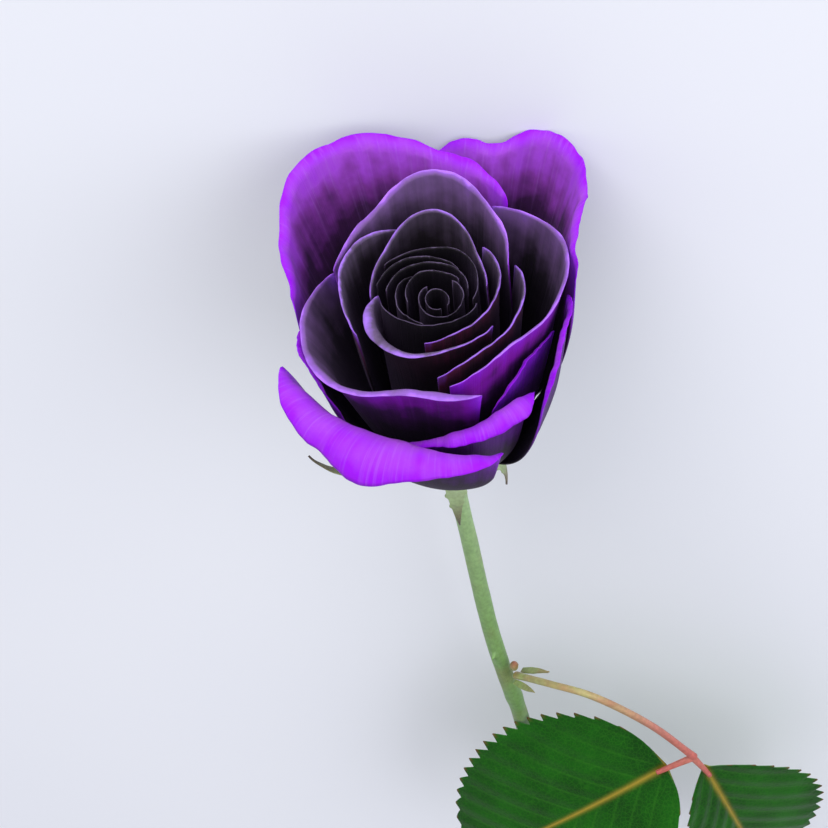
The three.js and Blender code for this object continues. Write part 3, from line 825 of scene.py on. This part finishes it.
STEM_SKIN = GreenSkin(
    "stem_skin_green", ((0.0, "#A9BE93"), (0.12, "#8FAE78"), (0.4, "#6F9455"), (1.0, "#557A3C")),
    blush="#7C5A3A", blush_share=0.3)
HIP_SKIN = GreenSkin(
    "hip_skin_pale_green", ((0.0, "#9DB887"), (0.6, "#A8C08E"), (1.0, "#B4C79C")),
    blush="#9A8A5A", blush_share=0.25)
SEPAL_SKIN = GreenSkin(
    "sepal_skin_green", ((0.0, "#B9C9A4"), (0.55, "#94A878"), (0.8, "#6E6A48"), (1.0, "#4A3A34")),
    blush="#6A4A50", blush_share=0.35)
STALK_SKIN = GreenSkin(
    "leaf_stalk_skin_red", ((0.0, "#8FA05E"), (0.45, "#A8A26A"), (0.75, "#B07060"), (1.0, "#B0564E")),
    blush="#A04A44", blush_share=0.5)
STIPULE_SKIN = GreenSkin(
    "stipule_skin_green", ((0.0, "#7E9A58"), (1.0, "#8E8A58")), blush="#8A5048", blush_share=0.45)
BUD_SKIN = GreenSkin(
    "bud_skin_red_green", ((0.0, "#7E9A58"), (1.0, "#9A5A48")), blush="#A04A44", blush_share=0.5)


@dataclass(frozen=True)
class LeafBlade:
    """Rose leaf: a smooth deep green upper face with a low shine, sunk veins a little paler than
    the blade, an olive midrib, a greyer underside and red-tipped teeth.

    Attributes:
        name: the material's name.
        blade: upper face between the veins.
        blade_light: the paler green of the blade's older parts.
        vein: side veins.
        midrib: the main vein.
        under: underside.
        tooth: tips of the teeth.
    """

    name: str = "leaf_blade_green"
    blade: str = "#083C04"
    blade_light: str = "#145A08"
    vein: str = "#2A6A14"
    midrib: str = "#94802C"
    under: str = "#5E8A5A"
    tooth: str = "#6A3A2C"

    def make(self) -> bpy.types.Material:
        """Build the material.

        Returns:
            A material that reads the marks "sheet", "vein", "rib" and "tooth".
        """
        coat = Coat(self.name)
        side = coat.sheet()[3]
        vein, rib, tooth = (
            coat.add("Attribute", attribute_name=label).outputs["Fac"] for label in ("vein", "rib", "tooth"))
        place = coat.place()
        # Cloudy green, patches about 12 mm across.
        cloud = coat.add("TexNoise", {"Vector": place, "Scale": 85.0, "Detail": 5.0})
        clouded = coat.add("MapRange", {0: cloud, 1: 0.35, 2: 0.7, 3: 0.0, 4: 0.75})
        # The net of the smallest veins: cells about 1.1 mm across.
        net = coat.add("TexVoronoi", {"Vector": place, "Scale": 900.0}, feature="DISTANCE_TO_EDGE")
        lines = coat.add("MapRange", {0: net, 1: 0.0, 2: 0.12, 3: 0.3, 4: 0.0},
                         interpolation_type="SMOOTHSTEP")
        faint = coat.add("Math", {0: vein, 1: 0.5}, operation="MULTIPLY")
        layers = (clouded, self.blade_light), (lines, self.vein), (faint, self.vein), (rib, self.midrib)
        upper, lower = self.blade, self.under
        for share, over in layers:
            upper = coat.add("Mix", {0: share, 6: upper, 7: over}, data_type="RGBA").outputs[2]
        for share in (vein, rib):
            lower = coat.add("Mix", {0: share, 6: lower, 7: self.midrib}, data_type="RGBA").outputs[2]
        face = coat.add("Mix", {0: side, 6: upper, 7: lower}, data_type="RGBA").outputs[2]
        colour = coat.add("Mix", {0: tooth, 6: face, 7: self.tooth}, data_type="RGBA").outputs[2]
        clouds = coat.add("Math", {0: cloud, 1: 0.5}, operation="MULTIPLY")
        sunk = coat.add("Math", {0: net, 1: 0.6, 2: clouds}, operation="MULTIPLY_ADD")
        gloss = coat.add("MapRange", {0: side, 1: 0.0, 2: 1.0, 3: 0.4, 4: 0.7})
        return coat.finish(colour, sunk, 0.6, 0.0003, {
            "Roughness": gloss, "Specular IOR Level": 0.14, "Subsurface Weight": 0.1,
            "Subsurface Scale": 1.0, "Subsurface Radius": (0.0006, 0.0014, 0.0004)})


@dataclass(frozen=True)
class PollenFinish:
    """Dry stamen: a waxy pale yellow thread with a grainy, matt, dusty head."""

    name: str = "stamen_pollen_yellow"
    thread: str = "#D8C88A"
    dust: str = "#A87A2A"

    def make(self) -> bpy.types.Material:
        """Build the material.

        Returns:
            A material that reads only object coordinates.
        """
        coat = Coat(self.name)
        # Pollen grains drawn at about 0.3 mm so that they show.
        grain = coat.add("TexVoronoi", {"Vector": coat.place(), "Scale": 3300.0})
        colour = coat.add("Mix", {0: grain, 6: self.dust, 7: self.thread}, data_type="RGBA").outputs[2]
        return coat.finish(colour, grain, 0.5, 0.0001, {"Roughness": 0.8})


# ---- calyx --------------------------------------------------------------------------------


@dataclass(frozen=True)
class SepalShape:
    """A sepal: a narrow pointed blade with small side lobes that leaves the hip and bends.

    Attributes:
        name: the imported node's name.
        azimuth: where it stands round the hip, in degrees.
        path: radius and height of the four Bezier corners of its midline.
        twist: how far its tip turns about the midline, in degrees.
    """

    name: str
    azimuth: float
    path: tuple[tuple[float, float], ...]
    twist: float = 0.0


@dataclass
class Calyx:
    """The receptacle, with the hip below it, and the five sepals.

    Attributes:
        disc_radius: radius of the disc that the petals stand on.
        hip_radius: radius of the hip at its widest.
        hip_bottom: height of the hip's lower end.
        stem_radius: radius where the stem takes over.
        half_width: half of a sepal's greatest width.
        thickness: a sepal's thickness.
        sepals: the five sepals.
    """

    disc_radius: float = 9.7
    hip_radius: float = 5.4
    hip_bottom: float = -12.0
    stem_radius: float = 2.2
    half_width: float = 3.4
    thickness: float = 0.5
    sepals: tuple[SepalShape, ...] = (
        SepalShape("sepal_front", 266, ((7, -4.2), (11, -6), (10.5, -14), (7.5, -25)), 50),
        SepalShape("sepal_right", 342, ((7, -4.2), (11, -5.5), (12.5, -10), (12, -16)), -20),
        SepalShape("sepal_back_right", 54, ((7, -4.2), (14, -7), (19, -13), (22, -23)), 30),
        SepalShape("sepal_back_left", 122, ((7, -4.2), (14, -7), (20, -11), (24, -20)), -35),
        SepalShape("sepal_left", 190, ((7, -4.2), (17, -6), (29, -6), (33.5, 7)), 25),
    )

    def packed_profile(self) -> Array:
        """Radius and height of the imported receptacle's turned profile."""
        disc, hip, low, stem = self.disc_radius, self.hip_radius, self.hip_bottom, self.stem_radius
        return np.array([
            (0, low), (stem, low), (stem + 0.7, low + 2), (hip - 0.8, low + 5), (hip, low + 8),
            (disc - 2, -2.2), (disc, -1.3), (disc, -0.6), (0, -0.6)])

    def hip(self) -> Piece:
        """The receptacle: the profile smoothed between its corners and turned, with five faint
        swellings below the sepals.

        Returns:
            The receptacle's piece.
        """
        r, z = (along(line, np.linspace(-1, 1, 61))[:, None] for line in self.packed_profile().T)
        turn = turns(96)
        swell = 1 + 0.02 * np.cos(5 * (turn - math.radians(270))) * smooth((z + 11) / 5)
        ring = np.clip(np.clip(r, 0.02, self.disc_radius) * swell, 0.02, self.disc_radius)
        rings = np.stack([ring * np.cos(turn), ring * np.sin(turn), np.broadcast_to(z, ring.shape)], -1)
        return closed_rings("receptacle", rings, [(0, 0, z[0, 0]), (0, 0, z[-1, 0])])

    def sepal(self, shape: SepalShape) -> Piece:
        """A sepal: half widths set off from a Bezier midline, cupped across, twisting towards the
        tip, with two pairs of narrow lobes past the first third.

        Args:
            shape: the sepal's sizes.

        Returns:
            The sepal's piece.
        """
        s, t = grid(28, 90)
        r, z = (bezier(line, t) for line in np.array(shape.path, float).T)
        width = self.half_width * (0.05 + 0.95 * (1 - t) ** 0.9 * smooth(0.35 + 2 * t))
        lobes = 0.6 * bell((t - 0.42) / 0.035) + 0.4 * bell((t - 0.6) / 0.03)
        width = width + lobes * smooth((np.abs(s) - 0.4) / 0.6)
        side, cup = width * s, 0.16 * width * s * s
        twist = np.radians(shape.twist) * t ** 1.5
        across, lift = side * np.cos(twist) - cup * np.sin(twist), side * np.sin(twist) + cup * np.cos(twist)
        lift = lift + 0.25 * ripple(9 * t, shape.azimuth) * smooth(t / 0.4)
        cos, sin = math.cos(math.radians(shape.azimuth)), math.sin(math.radians(shape.azimuth))
        middle = np.stack([r * cos - across * sin, r * sin + across * cos, z + lift], -1)
        return closed_sheet(shape.name, middle, self.thickness * (1 - 0.5 * np.abs(s) ** 3))

    def build(self, pose: LyingPose) -> None:
        """Build and dress the receptacle and the sepals.

        Args:
            pose: how the flower lies.
        """
        self.hip().build(pose, HIP_SKIN.make(), "receptacle", "green_flesh")
        skin = SEPAL_SKIN.make()
        for shape in self.sepals:
            self.sepal(shape).build(pose, skin, shape.name, "green_flesh")


# ---- stem ---------------------------------------------------------------------------------


@dataclass(frozen=True)
class Prickle:
    """A prickle: its share along the stem, its angle round it in degrees and its height."""

    share: float
    angle: float
    height: float = 3.0


@dataclass
class Stem:
    """The bare stem from the hip to a plain cut end.

    Attributes:
        radius: the stem's radius.
        route: listed points of its centreline.
        prickles: where its prickles stand.
        node_share: where the leaf leaves it, as a share of its length.
    """

    radius: float = 2.2
    route: tuple[tuple[float, float, float], ...] = (
        (0, 0, -12.3), (0.2, -0.6, -24), (1.6, -3, -39), (3.2, -6, -57), (5, -8.8, -74),
        (7.6, -11.6, -91), (10.4, -12.4, -108), (12.8, -10, -134), (14.6, -5, -163), (15.2, 0, -190),
    )
    prickles: tuple[Prickle, ...] = (
        Prickle(0.22, 200), Prickle(0.38, 20), Prickle(0.61, 150), Prickle(0.74, 330), Prickle(0.86, 80))
    node_share: float = 0.5

    def piece(self) -> Piece:
        """The stem: a round tube, a little thinner under the hip, swollen at the leaf's node, with
        each prickle raised as a smooth hooked bump of the wall.

        Returns:
            The stem's piece.
        """
        path = smooth_path(self.route, 620)
        step = np.linalg.norm(np.diff(path, axis=0), axis=1)
        length = step.sum()
        share = (np.concatenate([[0], np.cumsum(step)]) / length)[:, None]
        turn = turns(48)
        radius = self.radius * (0.92 + 0.06 * smooth(share / 0.5))
        radius = radius + 0.22 * bell((share - self.node_share) * length / 3.0)
        wall = radius + 0.03 * np.cos(5 * turn) + 0.03 * ripple(60 * share, 1.0)
        for prickle in self.prickles:
            off = (share - prickle.share) * length
            wrap = angle_from(turn, prickle.angle) * self.radius
            hook = np.where(off > 0, off / 2.6, off / 1.2)
            wall = wall + prickle.height * np.exp(-2.6 * np.hypot(hook, wrap / 0.75))
        cap = np.clip((1 - share) * length / 0.25, 0, 1)
        return closed_tube("stem", path, wall * (0.9 + 0.1 * cap), (1, 0, 0))

    def build(self, pose: LyingPose) -> None:
        """Build and dress the stem, lying in the given pose."""
        self.piece().build(pose, STEM_SKIN.make(), "stem", "green_flesh")


# ---- leaf ---------------------------------------------------------------------------------


@dataclass(frozen=True)
class LeafletShape:
    """One leaflet.

    Attributes:
        name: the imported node's name.
        base: where its stalk joins, in millimetres.
        run: the midrib's direction.
        across: the direction across the blade.
        length: from base to tip.
        halves: greatest widths of the two halves, against and along the across direction.
        bluntness: the power of the outline: 0.5 for a round base, 1 for a tapered one.
    """

    name: str
    base: tuple[float, float, float]
    run: tuple[float, float, float]
    across: tuple[float, float, float]
    length: float
    halves: tuple[float, float]
    bluntness: float


@dataclass
class Leaf:
    """The compound leaf: a stalk with two stipules, a bud in its angle and two leaflets.

    Attributes:
        stalk_radius: radius of the stalk.
        stalk_route: listed points of its centreline.
        leaflets: the two leaflets.
        teeth: teeth along one side of a leaflet.
        veins: side veins along one side.
        thickness: the blade's thickness.
        bud_place: the middle of the bud, in the angle between stalk and stem.
    """

    stalk_radius: float = 1.0
    stalk_route: tuple[tuple[float, float, float], ...] = (
        (10.4, -13.8, -88.6), (18, -24, -77), (29, -30, -76), (43, -31, -92), (54.5, -32, -110))
    leaflets: tuple[LeafletShape, ...] = (
        LeafletShape("leaflet_left", (46.5, -33, -113), (-0.75, 0, -0.66), (-0.47, 0.71, 0.53),
                     74, (24, 30), 0.5),
        LeafletShape("leaflet_end", (58, -33.5, -116), (0.31, -0.09, -0.95), (-0.91, -0.32, -0.24),
                     70, (24, 15), 1.0),
    )
    teeth: int = 18
    veins: int = 9
    thickness: float = 0.4
    bud_place: tuple[float, float, float] = (9.9, -14.2, -82.8)

    def leaflet(self, shape: LeafletShape) -> Piece:
        """A leaflet: half widths set off from the midrib by an egg-shaped outline with saw teeth,
        folded a little along the midrib, arched towards the tip and quilted between sunk veins.

        Args:
            shape: the leaflet's sizes.

        Returns:
            The leaflet's piece, with marks for its veins, midrib and teeth.
        """
        s, t = grid(120, 200)
        run, side, face = self.frame_of(shape.run, shape.across)
        outline = np.maximum(np.sin(np.pi * t ** 0.8), 0) ** shape.bluntness
        half = np.where(s > 0, shape.halves[1], shape.halves[0])
        phase = (t * self.teeth) % 1.0
        saw = np.where(phase < 0.72, phase / 0.72, (1 - phase) / 0.28)
        edge = smooth((np.abs(s) - 0.86) / 0.14)
        bite = 0.1 * (saw - 0.5) * edge * smooth(t / 0.04) * smooth((1 - t) / 0.05)
        width = half * (0.02 + 0.98 * outline * (1 + bite)) * s
        reach = np.abs(width) / half
        order = (t - 0.42 * reach + 0.12 * reach ** 2) * self.veins / 0.92
        gap = np.abs((order + 0.5) % 1.0 - 0.5)
        inside = smooth((reach - 0.02) / 0.05) * smooth((t - 0.02) / 0.04)
        vein = bell(gap / 0.055) * inside * (1 - 0.7 * np.abs(s))
        rib = bell(width / (0.75 * (1 - 0.75 * t) + 0.12))
        quilt = 0.35 * (smooth(gap / 0.5) - 0.5) * inside * (1 - edge)
        arch = -0.06 * shape.length * (2 * t - 0.6) ** 2
        wave = 0.6 * ripple(5 * t + 2 * np.sign(s), shape.length) * s ** 2
        lift = 0.16 * np.abs(width) + arch + wave + quilt - 0.35 * rib
        ahead = shape.length * t + 5.4 * bite * edge
        middle = shape.base + run * ahead[..., None] + side * width[..., None] + face * lift[..., None]
        tooth = smooth((saw - 0.7) / 0.3) * smooth((np.abs(s) - 0.95) / 0.05)
        thick = self.thickness * (1 - 0.4 * np.abs(s)) + 0.5 * rib
        return closed_sheet(shape.name, middle, thick, vein=vein, rib=rib, tooth=tooth)

    def frame_of(self, run: Sequence[float], across: Sequence[float]) -> tuple[Array, Array, Array]:
        """Three directions at right angles for a flat piece.

        Args:
            run: the direction along it.
            across: roughly the direction across it.

        Returns:
            Unit directions along, across and out of its face.
        """
        run, side = unit(np.array(run, float)), np.array(across, float)
        side = unit(side - run * (side @ run))
        return run, side, np.cross(side, run)

    def stalk(self) -> Piece:
        """The stalk with a short branch to each leaflet's base."""
        return joined([self.main_stalk()] + [self.branch(shape) for shape in self.leaflets])

    def branch(self, shape: LeafletShape) -> Piece:
        """A leaflet's own stalk: from inside the main stalk's end to just past the blade's base.

        Args:
            shape: the leaflet.

        Returns:
            The branch, coloured as the main stalk's last stretch.
        """
        start = np.array(self.stalk_route[-1], float) - (0.3, 0, 0.4)
        base = np.array(shape.base, float)
        end = base + 2.5 * unit(np.array(shape.run, float))
        share = np.linspace(0, 1, 40)[:, None]
        path = (1 - share) ** 2 * start + share * (1 - share) * (start + base) + share ** 2 * end
        radius = np.repeat(self.stalk_radius * (1.0 - 0.35 * share), 20, axis=1)
        piece = closed_tube("branch", path, radius, (0, 1, 0.3))
        piece.marks["sheet"][:, 1] = 0.85 + 0.15 * piece.marks["sheet"][:, 1]
        return piece

    def main_stalk(self) -> Piece:
        """The main stalk: a thin tube with a groove along its upper side and a swelling at each
        end.

        Returns:
            The main stalk's piece.
        """
        share = np.linspace(0, 1, 260)[:, None]
        radius = self.stalk_radius * (0.95 + 0.14 * bell(share / 0.05) + 0.12 * bell((1 - share) / 0.04))
        groove = 1 - 0.14 * bell(angle_from(turns(32), 90) / 0.5)
        return closed_tube("leaf_stalk", smooth_path(self.stalk_route, 260), radius * groove, (0, 1, 0.3))

    def stipule(self, name: str, sign: int) -> Piece:
        """A stipule: a narrow wing beside the stalk's foot whose free tip turns outwards.

        Args:
            name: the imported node's name.
            sign: 1 on the stalk's upper side, -1 on its lower side.

        Returns:
            The stipule's piece.
        """
        s, t = grid(16, 60)
        foot = np.array(self.stalk_route[0], float)
        across = np.array((0.7, 0.1, 0.6)) * sign
        run, side, face = self.frame_of(np.array(self.stalk_route[1], float) - foot, across)
        width = 0.15 + 1.6 * np.sin(np.pi * np.minimum(0.25 + 0.75 * t, 0.99))
        off = self.stalk_radius + 0.2 + width * (1 + s) / 2 + 2 * t * t
        curl = 0.3 * ripple(6 * t, 2.0) * t
        middle = foot + run * (1 + 12 * t)[..., None] + side * off[..., None] + face * curl[..., None]
        return closed_sheet(name, middle[::sign], np.full(s.shape, 0.45))

    def bud(self) -> Piece:
        """The bud: a pointed egg of two overlapping scales, turned about its own axis.

        Returns:
            The bud's piece.
        """
        share = np.linspace(0, 1, 40)[:, None]
        radius = 1.25 * np.sin(np.pi * share) ** 0.7 * (1 - 0.25 * share)
        wall = radius * (1 + 0.06 * np.sign(np.sin(turns(32) + 3 * share)))
        path = share * (0, 0, 4.2) - (0, 0, 2.1) + self.bud_place
        return closed_tube("axillary_bud", path, np.maximum(wall, 0.03), (1, 0, 0))

    def build(self, pose: LyingPose) -> None:
        """Build and dress the stalk, its stipules, the bud and the leaflets.

        Args:
            pose: how the flower lies.
        """
        blade, stipule = LeafBlade().make(), STIPULE_SKIN.make()
        self.stalk().build(pose, STALK_SKIN.make(), "leaf_stalk", "leaf_stalk")
        for name, sign in (("stipule_upper", 1), ("stipule_lower", -1)):
            self.stipule(name, sign).build(pose, stipule, name, "green_flesh")
        self.bud().build(pose, BUD_SKIN.make(), "axillary_bud", "green_flesh")
        for shape in self.leaflets:
            self.leaflet(shape).build(pose, blade, shape.name, "leaf_blade")


# ---- heart organs -------------------------------------------------------------------------


@dataclass
class HeartOrgans:
    """The stamens and styles at the bottom of the heart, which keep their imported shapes."""

    def build(self) -> None:
        """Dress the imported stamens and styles."""
        finish = PollenFinish().make()
        for name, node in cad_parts.items():
            if name.startswith("stamen") or name == "styles":
                node.data.materials.clear()
                node.data.materials.append(finish)
                log.info("%s: dressed as packed", name)


# ---- studio -------------------------------------------------------------------------------


@dataclass
class Studio:
    """A plain pale floor, soft light and the camera.

    Attributes:
        off_axis: angle between the view and the bloom's axis, in degrees.
        lean: turn of the bloom's axis in the view, in degrees.
        distance: from the camera to the petals' foot along the view, in millimetres.
        shift_right: how far the view's centre line passes left of the petals' foot.
        shift_up: how far it passes above the petals' foot.
        lens: focal length on a 36 mm wide sensor.
        floor_colour: the floor's colour.
        light_size: side of each square light, in metres.
    """

    off_axis: float = 37.0
    lean: float = 6.6
    distance: float = 480.0
    shift_right: float = 8.98
    shift_up: float = -5.3
    lens: float = 90.65
    floor_colour: str = "#E0E2EA"
    light_size: float = 1.4

    def axes(self) -> tuple[Array, Array, Array]:
        """The view's directions in the upright flower.

        Returns:
            The view's right, its up and the direction back to the camera.
        """
        tip, lean = math.radians(self.off_axis), math.radians(self.lean)
        rise = np.array((0.0, math.cos(tip), math.sin(tip)))
        level = np.array((1.0, 0.0, 0.0))
        right = math.cos(lean) * level - math.sin(lean) * rise
        up = math.sin(lean) * level + math.cos(lean) * rise
        return right, up, np.array((0.0, -math.sin(tip), math.cos(tip)))

    def stand(self, thing: bpy.types.Object, axes: Sequence[Array], place: Array) -> None:
        """Put a camera or a lamp in the scene.

        Args:
            thing: the object.
            axes: its right, its up and the direction behind it.
            place: where it stands, in metres.
        """
        matrix = np.eye(4)
        matrix[:3, :3] = np.column_stack(axes)
        matrix[:3, 3] = place
        thing.matrix_world = Matrix(matrix.tolist())
        bpy.context.scene.collection.objects.link(thing)

    def camera(self, pose: LyingPose) -> None:
        """Place the camera and make it the scene's.

        Args:
            pose: how the flower lies.
        """
        right, up, back = self.axes()
        eye = self.distance * back - self.shift_right * right - self.shift_up * up
        data = bpy.data.cameras.new("camera")
        data.lens, data.sensor_width = self.lens, 36.0
        data.clip_start, data.clip_end = 0.01, 20.0
        camera = bpy.data.objects.new("camera", data)
        self.stand(camera, [pose.direction(axis) for axis in (right, up, back)], pose.place(eye))
        bpy.context.scene.camera = camera
        log.info("camera at %s", np.round(pose.place(eye), 3))

    def floor(self) -> None:
        """Lay a pale matt floor much wider than the view, on the surface that the rose lies on."""
        half = 4.0
        mesh = bpy.data.meshes.new("floor")
        corners = [(-half, -half, 0), (half, -half, 0), (half, half, 0), (-half, half, 0)]
        mesh.from_pydata(corners, [], [(0, 1, 2, 3)])
        coat = Coat("floor_paper_matt")
        cloud = coat.add("TexNoise", {"Vector": coat.place(), "Scale": 5.0, "Detail": 2.0})
        colour = coat.add("Mix", {0: cloud, 6: self.floor_colour, 7: "#DADDE8"}, data_type="RGBA").outputs[2]
        coat.connect(coat.shader, {"Base Color": colour, "Roughness": 0.9})
        mesh.materials.append(coat.material)
        floor = bpy.data.objects.new("floor", mesh)
        bpy.context.scene.collection.objects.link(floor)

    def light(self, name: str, place: Array, target: Array, power: float, colour: str) -> None:
        """Add a square soft light.

        Args:
            name: the light's name.
            place: where it stands, in metres.
            target: the point that it is aimed at, in metres.
            power: its power in watts.
            colour: its hex colour.
        """
        data = bpy.data.lights.new(name, "AREA")
        data.size, data.energy, data.color = self.light_size, power, linear(colour)[:3]
        back = unit(place - target)
        right = unit(np.cross((0.0, 1.0, 0.001), back))
        self.stand(bpy.data.objects.new(name, data), [right, np.cross(back, right), back], place)

    def build(self, pose: LyingPose) -> None:
        """Set the stage: floor, lights, sky and camera.

        Args:
            pose: how the flower lies.
        """
        bloom = pose.place(np.array([[0.0, 0.0, 30.0]]))[0]
        right, up, back = (pose.direction(axis) for axis in self.axes())
        self.camera(pose)
        self.floor()
        self.light("key", bloom + 1.2 * back - 0.5 * right + 0.8 * up, bloom, 27.0, "#FFFDF8")
        self.light("fill", bloom + 1.2 * back + 1.0 * right - 0.3 * up, bloom, 14.0, "#FBFBFF")
        world = bpy.data.worlds.new("soft_sky")
        world.use_nodes = True
        sky = world.node_tree.nodes["Background"]
        sky.inputs["Color"].default_value = linear("#F6F7FA")
        sky.inputs["Strength"].default_value = 0.7
        scene = bpy.context.scene
        scene.world = world
        scene.view_settings.view_transform, scene.view_settings.look = "Standard", "None"


def main() -> None:
    """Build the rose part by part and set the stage."""
    logging.basicConfig(level=logging.INFO, format="%(name)s: %(message)s")
    calyx = Calyx()
    pose = LyingPose.from_frame(calyx.packed_profile(), "receptacle")
    log.info("the petals' foot is at %s mm", np.round(pose.origin, 2))
    for part in (Studio(), Bloom(), calyx, Stem(), Leaf()):
        part.build(pose)
    HeartOrgans().build()


if __name__ == "__main__":
    main()
